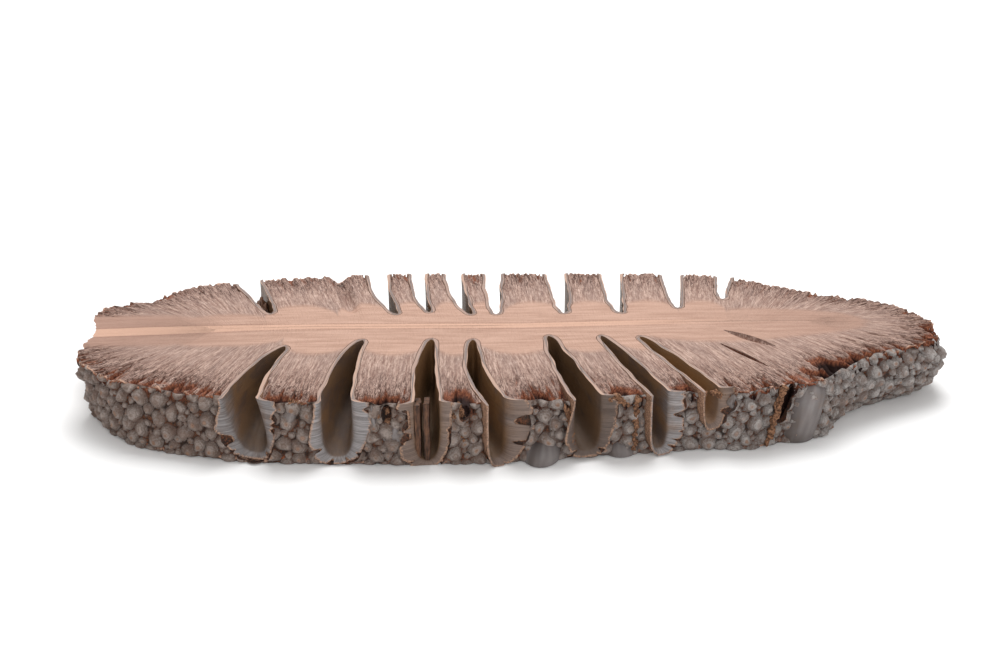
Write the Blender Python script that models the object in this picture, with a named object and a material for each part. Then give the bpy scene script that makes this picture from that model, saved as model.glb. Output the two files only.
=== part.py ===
"""A lengthwise saw-cut slab of a banksia cone, lying on its lower cut face.

The woody core, the bract tissue and the pebbled rim grew as one piece: cone_body. The seed cases
(follicles) sit in it in two rows, each a thin woody cup that gapes at the rim and narrows towards the
core. The saw went through most of them, so they show as slots with a thin wall along each side.

+X runs from the stem end to the tip, +Y to the back row, +Z up. The origin is under the middle.
"""

import math
import random
from collections import namedtuple

import bmesh
import bpy

MM = 0.001

# The slab
THICKNESS = 19.0
SEED = 7

# The top face's outline without its slots, counter-clockwise from the stem end's front corner, in mm
OUTLINE = [
    (-125, -15), (-121, -22), (-115, -28.5), (-106, -33.5), (-96, -37), (-85, -40), (-72, -43.5),
    (-58, -45), (-38, -46), (-18, -46), (0, -44.5), (20, -42.5), (40, -40), (54, -38), (66, -38),
    (75, -34.5), (87, -31), (94, -24), (102, -16), (112, -9.5), (121, -4), (125, 1),
    (125, 7), (121.5, 14.5), (114, 22), (103, 27), (92, 31), (82, 36), (72, 41.5), (58, 45),
    (35, 46), (5, 46), (-25, 46.5), (-48, 44.5), (-66, 42.5), (-82, 39.5), (-95, 36.5),
    (-106, 29.5), (-116, 24), (-122.5, 19), (-124.5, 12), (-123, 0),
]

# The rim: rounded bract tips in a diamond pattern
PEBBLE_PITCH = 6.4
PEBBLE_ROWS = 4
PEBBLE_HEIGHT = 2.0
PEBBLE_SINK = 0.7
COLUMNS_PER_PEBBLE = 4
STEPS_PER_ROW = 2
TIP_BULGE = 4.5
FRONT_BULGE = 2.6
BULGE_LEVEL = 0.2

# The follicles' walls
SHELL = 1.0
CLEARANCE = 0.35
RING_POINTS = 10
RING_POWER = 2.8
END_WIDTH = 1.6
CUTTER_REACH = 12.0

# Each open follicle, front row and then back row, from the stem end: its slot's inner end, waist and
# mouth in plan, the gape at the waist and at the mouth, then for its lip how far it stands out, how wide
# it gets and how far its middle lies towards the tip, and the heights of the cavity's floor and roof
Follicle = namedtuple("Follicle", "name tip waist mouth gape mouth_gape lip lip_gape lip_shift floor roof")
FOLLICLES = [
    Follicle("follicle_front_1", (-66, -9.5), (-71.5, -26), (-74.5, -42.5), 6.2, 9.0, 2.5, 19, 3.5, 2.5, 26),
    Follicle("follicle_front_2", (-43.7, -5), (-47.5, -25), (-48, -44.5), 6.6, 8.5, 2.5, 18, 1.5, 2.0, 26),
    Follicle("follicle_front_3", (-23.4, -4.5), (-24.3, -25), (-23.2, -45), 5.9, 7.0, 1.8, 15, -0.8, -6, 25),
    Follicle("follicle_front_4", (-11.5, -4.8), (-10, -25), (-5.2, -43.5), 5.0, 5.6, 3.0, 12.6, 3.0, -1, 25),
    Follicle("follicle_front_5", (11, -2), (15.5, -23), (20.6, -42), 6.4, 7.6, 2.0, 12.6, 1.5, 2.5, 26),
    Follicle("follicle_front_6", (26.5, -2), (34, -22), (40.5, -39.5), 5.0, 5.2, 2.2, 10.4, 1.5, -1, 25),
    Follicle("follicle_front_7", (38, -2.5), (47, -20), (55, -37.5), 4.3, 4.6, 1.6, 10, 3.0, 8.5, 28),
    Follicle("follicle_back_1", (-73, 14.8), (-77.5, 27), (-82.5, 39), 5.0, 7.0, 1.2, 9.0, 0, 6, 27),
    Follicle("follicle_back_3", (-34.5, 14.5), (-39.5, 28), (-42.3, 44.5), 5.4, 6.2, 1.6, 9.5, 0, -6, 25),
    Follicle("follicle_back_4", (-24.5, 16), (-27.8, 29), (-29.3, 45.5), 4.2, 4.6, 1.6, 7.5, 0, -6, 25),
    Follicle("follicle_back_5", (-11.7, 14.3), (-16, 28), (-18, 45.5), 5.2, 5.4, 1.6, 8.5, 0, -6, 25),
    Follicle("follicle_back_6", (-4.6, 14.3), (-5.1, 28), (-5.8, 45.5), 4.6, 5.2, 1.6, 7.5, 0, -2, 25),
    Follicle("follicle_back_7", (16, 15.2), (15.6, 28), (14.4, 45.5), 5.8, 6.2, 1.6, 10, 0, -6, 25),
    Follicle("follicle_back_8", (33.5, 15.4), (32.3, 28), (32, 45.5), 5.6, 6.4, 1.6, 10, 0, -6, 25),
    Follicle("follicle_back_9", (51, 19.3), (51, 31), (51.3, 44.5), 4.9, 6.2, 1.6, 9.5, 0, -5, 25),
    Follicle("follicle_back_10", (65.4, 26.3), (66.3, 34), (67.8, 43), 3.0, 4.2, 1.4, 7.5, 0, 1, 25),
]

# Follicles that the saw missed or only grazed: domes bulging out of the rim (middle and radii in mm)
Dome = namedtuple("Dome", "name middle radii slit_x")
DOMES = [
    Dome("follicle_front_8", (82.5, -29, 8), (7.2, 8, 10.5), 77.2),
    Dome("follicle_low_1", (9.6, -41.5, -1.2), (4.6, 8, 6.5), None),
    Dome("follicle_low_2", (28.2, -38, -1.5), (4.5, 5.5, 4.5), None),
]
DOME_SHELL = 1.2
SLIT_WIDTH = 2.2
DOME_POINTS = 12

# Shallow grooves where the saw just opened a follicle: ends in plan, width and depth
Groove = namedtuple("Groove", "name start end width depth")
GROOVES = [
    Groove("cut_slit", (61, -7.4), (72, -22.0), 1.5, 7.0),
    Groove("cut_groove_front", (63.2, 2.3), (76, -9.0), 3.2, 1.6),
    Groove("cut_groove_back", (-48, 16.5), (-53.5, 35), 4.6, 2.4),
]

# What is left of a seed separator and of a seed in two of the open follicles
SEPARATOR_START = (-25.6, -19.5)
SEPARATOR_END = (-25.5, -42.0)
SEPARATOR_THICKNESS = 0.8
SEPARATOR_LOW = 2.0
SEPARATOR_HIGH = 16.0
SEED_MIDDLE = (-37.5, 22.3, 9.5)
SEED_RADII = (1.3, 2.8, 6.0)

# The middle of the whole slab in plan, which becomes the origin
MIDDLE = (1.514, -0.644)

COLOURS = {
    "body": (0.42, 0.29, 0.22, 1),
    "follicle": (0.20, 0.17, 0.15, 1),
    "seed": (0.22, 0.09, 0.05, 1),
}


def clear_scene():
    for obj in list(bpy.data.objects):
        bpy.data.objects.remove(obj, do_unlink=True)


def make_material(name, colour, roughness):
    material = bpy.data.materials.new(name)
    material.use_nodes = True
    shader = material.node_tree.nodes["Principled BSDF"]
    shader.inputs["Base Color"].default_value = colour
    shader.inputs["Roughness"].default_value = roughness
    shader.inputs["Metallic"].default_value = 0.0
    return material


def make_object(name, points, faces, material=None):
    """A mesh object from points in mm."""
    mesh = bpy.data.meshes.new(name)
    mesh.from_pydata([((x - MIDDLE[0]) * MM, (y - MIDDLE[1]) * MM, z * MM) for x, y, z in points], [], faces)
    mesh.update()
    fix = bmesh.new()
    fix.from_mesh(mesh)
    bmesh.ops.recalc_face_normals(fix, faces=fix.faces)
    fix.to_mesh(mesh)
    fix.free()
    if material is not None:
        mesh.materials.append(material)
    obj = bpy.data.objects.new(name, mesh)
    bpy.context.scene.collection.objects.link(obj)
    return obj


def make_cutter(name, points, faces):
    cutter = make_object(name, points, faces)
    cutter.hide_render = True
    cutter.display_type = "WIRE"
    return cutter


def apply_boolean(obj, operation, cutter=None, collection=None):
    """Cuts obj and leaves the result as its mesh."""
    modifier = obj.modifiers.new("cut", "BOOLEAN")
    modifier.operation = operation
    modifier.solver = "EXACT"
    if collection is not None:
        modifier.operand_type = "COLLECTION"
        modifier.collection = collection
    else:
        modifier.object = cutter
    depsgraph = bpy.context.evaluated_depsgraph_get()
    result = bpy.data.meshes.new_from_object(obj.evaluated_get(depsgraph))
    obj.modifiers.clear()
    obj.data = result


def spline_point(points, i, t):
    """A point on the closed curve through the outline's points, between point i and the next."""
    p0, p1, p2, p3 = (points[(i + k) % len(points)] for k in (-1, 0, 1, 2))

    def along(axis):
        a, b, c, d = p0[axis], p1[axis], p2[axis], p3[axis]
        square, cube = 2 * a - 5 * b + 4 * c - d, 3 * b - a - 3 * c + d
        return 0.5 * (2 * b + (c - a) * t + square * t * t + cube * t**3)

    return along(0), along(1)


def walk_outline(count):
    """Points at equal steps round the outline, each with its outward direction."""
    fine = [spline_point(OUTLINE, i, t / 16) for i in range(len(OUTLINE)) for t in range(16)]
    lengths = [0.0]
    for here, there in zip(fine, fine[1:] + fine[:1]):
        lengths.append(lengths[-1] + math.dist(here, there))
    total = lengths[-1]
    walked = []
    piece = 0
    for k in range(count):
        target = total * k / count
        while lengths[piece + 1] < target:
            piece += 1
        here, there = fine[piece], fine[(piece + 1) % len(fine)]
        t = (target - lengths[piece]) / (lengths[piece + 1] - lengths[piece])
        walked.append((here[0] + (there[0] - here[0]) * t, here[1] + (there[1] - here[1]) * t))
    out = []
    for k, (x, y) in enumerate(walked):
        before, after = walked[k - 1], walked[(k + 1) % count]
        run = math.dist(before, after)
        out.append((x, y, (after[1] - before[1]) / run, (before[0] - after[0]) / run))
    return out, total


def smooth_step(low, high, value):
    t = min(1.0, max(0.0, (value - low) / (high - low)))
    return t * t * (3 - 2 * t)


def rim_bulge(x, y, z):
    """How far the rim stands out past the top face's outline at this height."""
    level = (z / THICKNESS - BULGE_LEVEL) / (1 - BULGE_LEVEL)
    at_tip = TIP_BULGE * smooth_step(85, 120, x)
    at_front = FRONT_BULGE * smooth_step(0, -25, y) * smooth_step(-45, -85, x)
    return (at_tip + at_front) * (1 - level * level)


def on_sawn_end(x, y):
    """True on the stem end's cut, which has no bract tips."""
    return x < -120.5 and -14 < y < 17


def body_points(draw):
    """The slab's rings of points from the underside to the top, with the bract tips as domes."""
    _, total = walk_outline(8)
    pebbles = round(total / PEBBLE_PITCH)
    columns = pebbles * COLUMNS_PER_PEBBLE
    rows = PEBBLE_ROWS * STEPS_PER_ROW
    heights = [[draw.uniform(0.7, 1.1) for _ in range(pebbles)] for _ in range(PEBBLE_ROWS + 1)]
    walked, _ = walk_outline(columns)
    row_pitch = THICKNESS / PEBBLE_ROWS
    points = []
    for row in range(rows + 1):
        z = THICKNESS * row / rows
        for column, (x, y, nx, ny) in enumerate(walked):
            u = column / COLUMNS_PER_PEBBLE
            dome = 0.0
            for r in range(PEBBLE_ROWS + 1):
                for p in (math.floor(u) - 1, math.floor(u), math.floor(u) + 1):
                    du = (u - p - 0.5 * (r % 2)) * PEBBLE_PITCH
                    dz = z - r * row_pitch
                    near = 1 - (du * du + dz * dz) / (PEBBLE_PITCH / 2) ** 2
                    if near > 0:
                        dome = max(dome, heights[r][p % pebbles] * math.sqrt(near))
            out = rim_bulge(x, y, z) - PEBBLE_SINK
            if not on_sawn_end(x, y):
                out += PEBBLE_HEIGHT * dome
            points.append((x + nx * out, y + ny * out, z))
    return points, columns, rows


def make_body(material):
    points, columns, rows = body_points(random.Random(SEED))
    faces = []
    for row in range(rows):
        for column in range(columns):
            following = (column + 1) % columns
            low, high = row * columns, (row + 1) * columns
            faces.append((low + column, low + following, high + following, high + column))
    faces.append(tuple(reversed(range(columns))))
    faces.append(tuple(range(rows * columns, (rows + 1) * columns)))
    return make_object("cone_body", points, faces, material)


def curve_through(a, b, c, s):
    """The plan curve that starts at a, passes b half way and ends at c, with its direction."""
    middle = [2 * b[k] - (a[k] + c[k]) / 2 for k in (0, 1)]
    place = [(1 - s) ** 2 * a[k] + 2 * s * (1 - s) * middle[k] + s * s * c[k] for k in (0, 1)]
    run = [2 * (1 - s) * (middle[k] - a[k]) + 2 * s * (c[k] - middle[k]) for k in (0, 1)]
    length = math.hypot(*run)
    return place, (run[0] / length, run[1] / length)


def superellipse(width, height):
    """Points round a flattened oval of this width and height, as (across, up)."""
    ring = []
    for k in range(RING_POINTS):
        angle = 2 * math.pi * (k + 0.5) / RING_POINTS
        c, s = math.cos(angle), math.sin(angle)
        across = math.copysign(abs(c) ** (2 / RING_POWER), c) * width / 2
        up = math.copysign(abs(s) ** (2 / RING_POWER), s) * height / 2
        ring.append((across, up))
    return ring


def slot_ring(f, s, past, grow, deepen=0.0):
    """One ring of a follicle's inner face, at s along it or past its mouth, grown outwards all round."""
    place, run = curve_through(f.tip, f.waist, f.mouth, s)
    gape = END_WIDTH + (f.gape - END_WIDTH) * min(1.0, 2 * s) ** 0.7
    if s > 0.5:
        gape += (f.mouth_gape - f.gape) * smooth_step(0.5, 1.0, s)
    if past > 0:
        gape += (f.lip_gape - f.mouth_gape) * min(1.0, past / f.lip) ** 0.8
    middle = (f.floor + f.roof) / 2
    height = (f.roof - f.floor) * (0.74 + 0.26 * s**0.6)
    x = place[0] + run[0] * (past - deepen) + f.lip_shift * min(1.0, past / f.lip)
    y = place[1] + run[1] * (past - deepen)
    ring = superellipse(gape + 2 * grow, height + 2 * grow)
    return [(x - run[1] * across, y + run[0] * across, middle + up) for across, up in ring]


def loft(rings, closed_ends):
    """Faces that join rings of equal length, in order."""
    points = [p for ring in rings for p in ring]
    n = len(rings[0])
    faces = []
    for r in range(len(rings) - 1):
        for k in range(n):
            following = (k + 1) % n
            faces.append((r * n + k, r * n + following, (r + 1) * n + following, (r + 1) * n + k))
    if closed_ends:
        faces.append(tuple(reversed(range(n))))
        faces.append(tuple(range((len(rings) - 1) * n, len(rings) * n)))
    return points, faces


SHELL_STEPS = (0.0, 0.1, 0.28, 0.5, 0.76, 1.0)


def cut_pocket(f):
    """The room in the body for one follicle, its wall and a little clearance."""
    grow = SHELL + CLEARANCE
    rings = [slot_ring(f, s, 0, grow, deepen=grow) for s in SHELL_STEPS]
    rings.append(slot_ring(f, 1, f.lip, grow, deepen=0.6))
    rings.append(slot_ring(f, 1, CUTTER_REACH, grow))
    points, faces = loft(rings, True)
    return make_cutter("pocket_" + f.name, points, faces)


def make_follicle(f, material, slab):
    """The follicle's wall: an outer and an inner face that meet round the lip, sawn off with the slab."""
    outer = [slot_ring(f, s, 0, SHELL, deepen=SHELL) for s in SHELL_STEPS]
    outer.append(slot_ring(f, 1, f.lip, SHELL))
    inner = [slot_ring(f, s, 0, 0.0) for s in SHELL_STEPS]
    inner.append(slot_ring(f, 1, f.lip, 0.0))
    points, faces = loft(outer + inner[::-1], True)
    shell = make_object(f.name, points, faces, material)
    apply_boolean(shell, "INTERSECT", slab)
    return shell


def ellipsoid(middle, radii, points_round=DOME_POINTS):
    rings = []
    for r in range(1, points_round // 2):
        polar = math.pi * r / (points_round // 2)
        ring = []
        for k in range(points_round):
            turn = 2 * math.pi * k / points_round
            ring.append((
                middle[0] + radii[0] * math.sin(polar) * math.cos(turn),
                middle[1] + radii[1] * math.sin(polar) * math.sin(turn),
                middle[2] - radii[2] * math.cos(polar),
            ))
        rings.append(ring)
    points, faces = loft(rings, False)
    last = len(points) - points_round
    points.append((middle[0], middle[1], middle[2] - radii[2]))
    points.append((middle[0], middle[1], middle[2] + radii[2]))
    for k in range(points_round):
        following = (k + 1) % points_round
        faces.append((following, k, len(points) - 2))
        faces.append((last + k, last + following, len(points) - 1))
    return points, faces


def block(low, high):
    points = [(x, y, z) for x in (low[0], high[0]) for y in (low[1], high[1]) for z in (low[2], high[2])]
    faces = [(0, 1, 3, 2), (4, 6, 7, 5), (0, 4, 5, 1), (2, 3, 7, 6), (0, 2, 6, 4), (1, 5, 7, 3)]
    return points, faces


def cut_dome_seat(d):
    grown = [r + CLEARANCE for r in d.radii]
    return make_cutter("seat_" + d.name, *ellipsoid(d.middle, grown))


def make_dome(d, material, slab):
    """A follicle that bulges out of the rim, hollow, open where the saw or its own slit opens it."""
    dome = make_object(d.name, *ellipsoid(d.middle, d.radii), material)
    hollow = make_cutter("hollow", *ellipsoid(d.middle, [r - DOME_SHELL for r in d.radii]))
    apply_boolean(dome, "DIFFERENCE", hollow)
    bpy.data.objects.remove(hollow)
    if d.slit_x is not None:
        x, y, z = d.middle
        low = (d.slit_x - SLIT_WIDTH / 2, y - 2 * d.radii[1], z - d.radii[2] * 0.7)
        high = (d.slit_x + SLIT_WIDTH / 2, y, z + d.radii[2] * 0.7)
        slit = make_cutter("slit", *block(low, high))
        apply_boolean(dome, "DIFFERENCE", slit)
        bpy.data.objects.remove(slit)
    apply_boolean(dome, "INTERSECT", slab)
    return dome


def cut_groove(g):
    """A boat-shaped groove in the top face."""
    rings = []
    direction = (g.end[0] - g.start[0], g.end[1] - g.start[1])
    length = math.hypot(*direction)
    across = (-direction[1] / length, direction[0] / length)
    for s in (0.0, 0.25, 0.5, 0.75, 1.0):
        full = 0.25 + 0.75 * math.sin(math.pi * (0.1 + 0.8 * s))
        x, y = g.start[0] + direction[0] * s, g.start[1] + direction[1] * s
        half, deep = g.width * full / 2, g.depth * full
        left = [(-1, 2.0), (-1, 0.0), (-0.55, -0.75 * deep)]
        right = [(0.55, -0.75 * deep), (1, 0.0), (1, 2.0)]
        ring = []
        for side, z in left + [(0, -deep)] + right:
            ring.append((x + across[0] * half * side, y + across[1] * half * side, THICKNESS + z))
        rings.append(ring)
    return make_cutter(g.name, *loft(rings, True))


def make_separator(material):
    """A strip of the woody separator, still standing against the left wall of an open follicle."""
    (x0, y0), (x1, y1) = SEPARATOR_START, SEPARATOR_END
    half = SEPARATOR_THICKNESS / 2
    rings = []
    for s in (0.0, 0.35, 0.7, 1.0):
        x, y = x0 + (x1 - x0) * s, y0 + (y1 - y0) * s
        low, high = SEPARATOR_LOW, SEPARATOR_HIGH - 2.0 * s
        rings.append([(x - half, y, low), (x + half, y, low), (x + half, y, high), (x - half, y, high)])
    return make_object("seed_separator_front_3", *loft(rings, True), material)


def make_seed_remains(material):
    return make_object("seed_remains_back_3", *ellipsoid(SEED_MIDDLE, SEED_RADII, 8), material)


def build():
    clear_scene()
    body_material = make_material("cone_wood", COLOURS["body"], 0.75)
    follicle_material = make_material("follicle_wall", COLOURS["follicle"], 0.6)
    seed_material = make_material("seed_wood", COLOURS["seed"], 0.6)

    reach = 200
    slab = make_cutter("slab_range", *block((-reach, -reach, 0), (reach, reach, THICKNESS)))
    body = make_body(body_material)

    pockets = bpy.data.collections.new("pockets")
    bpy.context.scene.collection.children.link(pockets)
    cutters = [cut_pocket(f) for f in FOLLICLES]
    cutters += [cut_dome_seat(d) for d in DOMES]
    cutters += [cut_groove(g) for g in GROOVES]
    for cutter in cutters:
        pockets.objects.link(cutter)
    apply_boolean(body, "DIFFERENCE", collection=pockets)

    for f in FOLLICLES:
        make_follicle(f, follicle_material, slab)
    for d in DOMES:
        make_dome(d, follicle_material, slab)
    make_separator(seed_material)
    make_seed_remains(seed_material)

    for cutter in cutters + [slab]:
        bpy.data.objects.remove(cutter)


build()
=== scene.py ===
import math

import bmesh
import bpy
import numpy as np
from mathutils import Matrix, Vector, noise


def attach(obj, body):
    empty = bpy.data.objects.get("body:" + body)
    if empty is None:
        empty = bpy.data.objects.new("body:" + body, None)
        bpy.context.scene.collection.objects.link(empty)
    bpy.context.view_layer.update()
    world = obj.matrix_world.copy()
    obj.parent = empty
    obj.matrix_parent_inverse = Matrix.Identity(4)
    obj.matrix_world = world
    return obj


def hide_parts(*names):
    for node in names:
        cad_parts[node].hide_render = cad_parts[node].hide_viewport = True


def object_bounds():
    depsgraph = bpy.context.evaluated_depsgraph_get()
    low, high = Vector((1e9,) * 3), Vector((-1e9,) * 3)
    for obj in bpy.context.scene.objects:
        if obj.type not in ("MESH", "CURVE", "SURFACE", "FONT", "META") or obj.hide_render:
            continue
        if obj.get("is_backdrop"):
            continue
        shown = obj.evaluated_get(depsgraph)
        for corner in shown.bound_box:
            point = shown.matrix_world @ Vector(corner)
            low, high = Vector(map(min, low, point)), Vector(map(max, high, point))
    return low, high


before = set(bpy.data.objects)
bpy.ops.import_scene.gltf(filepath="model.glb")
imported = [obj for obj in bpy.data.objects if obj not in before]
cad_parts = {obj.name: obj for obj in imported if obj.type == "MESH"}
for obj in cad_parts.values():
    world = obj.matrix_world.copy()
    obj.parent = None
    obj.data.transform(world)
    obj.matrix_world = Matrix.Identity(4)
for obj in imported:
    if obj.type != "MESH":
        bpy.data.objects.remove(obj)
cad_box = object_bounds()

# The room
# A plain pale table top under a wide, soft overhead light, with light from all round as in a white tent.
# The camera stands in front, 24 degrees above the table, where the photograph was taken from.
MM = 0.001
CAMERA_RISE = math.radians(24)
CAMERA_DISTANCE = 517.1
CAMERA_AIM = (-4.84, 0.0, 19.0)
CAMERA_LENS = 63.0
TENT_LIGHT = 0.58
LAMPS = {"overhead": ((40, 480, 900), 700, 10.5), "front": ((150, -850, 450), 500, 2.4)}
FLOOR_HALF = 4000.0
FLOOR_DROP = 0.15

camera_data = bpy.data.cameras.new("camera")
camera_data.lens = CAMERA_LENS
camera_data.sensor_width = 36.0
camera_data.clip_start = 0.01
camera = bpy.data.objects.new("camera", camera_data)
bpy.context.scene.collection.objects.link(camera)
back = Vector((0, -math.cos(CAMERA_RISE), math.sin(CAMERA_RISE)))
camera.location = (Vector(CAMERA_AIM) + back * CAMERA_DISTANCE) * MM
camera.rotation_euler = (-back).to_track_quat("-Z", "Y").to_euler()
bpy.context.scene.camera = camera
bpy.context.scene.view_settings.view_transform = "Standard"

world = bpy.data.worlds.new("white_tent")
world.use_nodes = True
world.node_tree.nodes["Background"].inputs["Color"].default_value = (1.0, 0.99, 0.98, 1)
world.node_tree.nodes["Background"].inputs["Strength"].default_value = TENT_LIGHT
bpy.context.scene.world = world

for name, (place, size, watts) in LAMPS.items():
    lamp_data = bpy.data.lights.new(name, "AREA")
    lamp_data.energy = watts
    lamp_data.size = size * MM
    lamp = bpy.data.objects.new(name, lamp_data)
    lamp.location = Vector(place) * MM
    lamp.rotation_euler = Vector(place).to_track_quat("Z", "Y").to_euler()
    bpy.context.scene.collection.objects.link(lamp)

floor_material = bpy.data.materials.new("white_table")
floor_material.use_nodes = True
floor_shader = floor_material.node_tree.nodes["Principled BSDF"]
floor_shader.inputs["Base Color"].default_value = (0.93, 0.93, 0.93, 1)
floor_shader.inputs["Roughness"].default_value = 0.7
floor_shader.inputs["Specular IOR Level"].default_value = 0.1
floor_mesh = bpy.data.meshes.new("floor")
edge = FLOOR_HALF * MM
floor_corners = [(x, y, 0) for x, y in ((-edge, -edge), (edge, -edge), (edge, edge), (-edge, edge))]
floor_mesh.from_pydata(floor_corners, [], [(0, 1, 2, 3)])
floor_mesh.materials.append(floor_material)
floor = bpy.data.objects.new("floor", floor_mesh)
floor.location.z = -FLOOR_DROP * MM
bpy.context.scene.collection.objects.link(floor)
floor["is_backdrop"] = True

# The cone's body
# One grown piece: a hard, pale core with its pith, and round it the fibrous tissue of the bracts. Sawn
# flat on both sides. Near the rim the fibres have dried and split, and rust-brown down fills the cracks.

# Its outline, the line of its pith, and how its fibres fan out from the core to the rim
THICKNESS = 19.0
MIDDLE = (1.514, -0.644)
REACH = (129.1, 48.4)
OUTLINE = [
    (-125, -15), (-121, -22), (-115, -28.5), (-106, -33.5), (-96, -37), (-85, -40), (-72, -43.5),
    (-58, -45), (-38, -46), (-18, -46), (0, -44.5), (20, -42.5), (40, -40), (54, -38), (66, -38),
    (75, -34.5), (87, -31), (94, -24), (102, -16), (112, -9.5), (121, -4), (125, 1),
    (125, 7), (121.5, 14.5), (114, 22), (103, 27), (92, 31), (82, 36), (72, 41.5), (58, 45),
    (35, 46), (5, 46), (-25, 46.5), (-48, 44.5), (-66, 42.5), (-82, 39.5), (-95, 36.5),
    (-106, 29.5), (-116, 24), (-122.5, 19), (-124.5, 12), (-123, 0),
]
TIP_BULGE = 4.2
FRONT_BULGE = 3.2
BULGE_LEVEL = 0.2
TIP_LEVEL = 0.42
LEFT_UNDERCUT = 2.7
TIP_UNDERCUT = 4.6
PITH_LINE = [
    (-125, -0.2), (-111, 1.1), (-80, 3.7), (-57, 4.9), (2.6, 5.6), (44.7, 8.2), (68.8, 9), (125, 10),
]
CORE_START = -92.0
CORE_END = 96.0
CORE_HALF = 5.0
PITH_HALF = 0.3
COLUMNS = 1400
SPAN_POINTS = 24
# Where a fibre that ends at one x on the rim leaves the core, at another x, in the front half and the back
FRONT_FAN = [(-112, -88), (-100, -80), (-74.5, -66), (-48, -44.5), (-24, -23.5), (-5, -11), (20.6, 10.5),
             (40.5, 27), (55, 39), (80, 58), (100, 76), (115, 90)]
BACK_FAN = [(115, 92), (100, 84), (67.8, 65.2), (51.3, 51), (14.4, 16), (-18, -12), (-42.3, -34.5),
            (-82.5, -73), (-105, -86), (-117, -90)]


def outline_walk(count):
    """Points at equal steps round the outline, the outward direction at each, and the length walked."""
    p = np.array(OUTLINE, float)
    t = np.linspace(0, 1, SPAN_POINTS, endpoint=False)[:, None]
    spans = []
    for i in range(len(p)):
        a, b, c, d = (p[(i + k) % len(p)] for k in (-1, 0, 1, 2))
        square = (2 * a - 5 * b + 4 * c - d) * t**2
        cube = (3 * b - a - 3 * c + d) * t**3
        spans.append(0.5 * (2 * b + (c - a) * t + square + cube))
    fine = np.vstack(spans + [p[:1]])
    lengths = np.concatenate([[0], np.cumsum(np.linalg.norm(np.diff(fine, axis=0), axis=1))])
    s = np.linspace(0, lengths[-1], count, endpoint=False)
    points = np.stack([np.interp(s, lengths, fine[:, k]) for k in (0, 1)], -1)
    run = np.roll(points, -1, 0) - np.roll(points, 1, 0)
    run /= np.linalg.norm(run, axis=1, keepdims=True)
    return points, np.stack([run[:, 1], -run[:, 0]], -1), s, lengths[-1]


def smooth_step(low, high, value):
    t = np.clip((value - low) / (high - low), 0, 1)
    return t * t * (3 - 2 * t)


def rim_bulge(x, y, z):
    """How far the rim stands out of the outline. It swells in front and is drawn in under both ends."""
    low = (z / THICKNESS - BULGE_LEVEL) / (1 - BULGE_LEVEL)
    high = (z / THICKNESS - TIP_LEVEL) / (1 - TIP_LEVEL)
    fuller = 0.35 * smooth_step(25, 0, x) + 0.65 * smooth_step(-45, -85, x)
    at_front = FRONT_BULGE * smooth_step(0, -25, y) * fuller
    at_front = at_front * smooth_step(-126, -106, x) * (1 - low * low)
    at_tip = TIP_BULGE * smooth_step(85, 120, x) * (1 - high * high)
    under = (1 - z / THICKNESS) ** 1.5
    at_front = at_front - LEFT_UNDERCUT * smooth_step(-98, -118, x) * under
    return at_front + at_tip - TIP_UNDERCUT * smooth_step(85, 105, x) * under * under


def pith_y(x):
    return np.interp(x, *np.array(PITH_LINE).T)


rim, rim_out, rim_s, rim_length = outline_walk(COLUMNS)
in_front = rim[:, 1] < pith_y(rim[:, 0])


def column_at(x, front):
    return int(np.argmin(np.abs(rim[:, 0] - x) + 1000 * (in_front != front)))


def core_points(half_width):
    """Where the fibre that ends at each rim point leaves a thin closed curve round the pith."""
    span = CORE_END - CORE_START
    known = [(rim_s[column_at(x, True)], (to - CORE_START) / span) for x, to in FRONT_FAN]
    known += [(rim_s[column_at(x, False)], 2 - (to - CORE_START) / span) for x, to in BACK_FAN]
    s, k = np.array(known).T
    s = np.concatenate([[s[-1] - rim_length], s, [s[0] + rim_length]])
    k = np.concatenate([[k[-1] - 2], k, [k[0] + 2]])
    k = np.interp(rim_s, s, k) % 2
    x = np.where(k < 1, CORE_START + span * k, CORE_END - span * (k - 1))
    half = half_width * np.sqrt(np.clip(1 - ((2 * x - CORE_START - CORE_END) / span) ** 2, 0, 1))
    return np.stack([x, pith_y(x) + np.where(k < 1, -half, half)], -1)


core = core_points(CORE_HALF)
pith = core_points(PITH_HALF)

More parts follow.
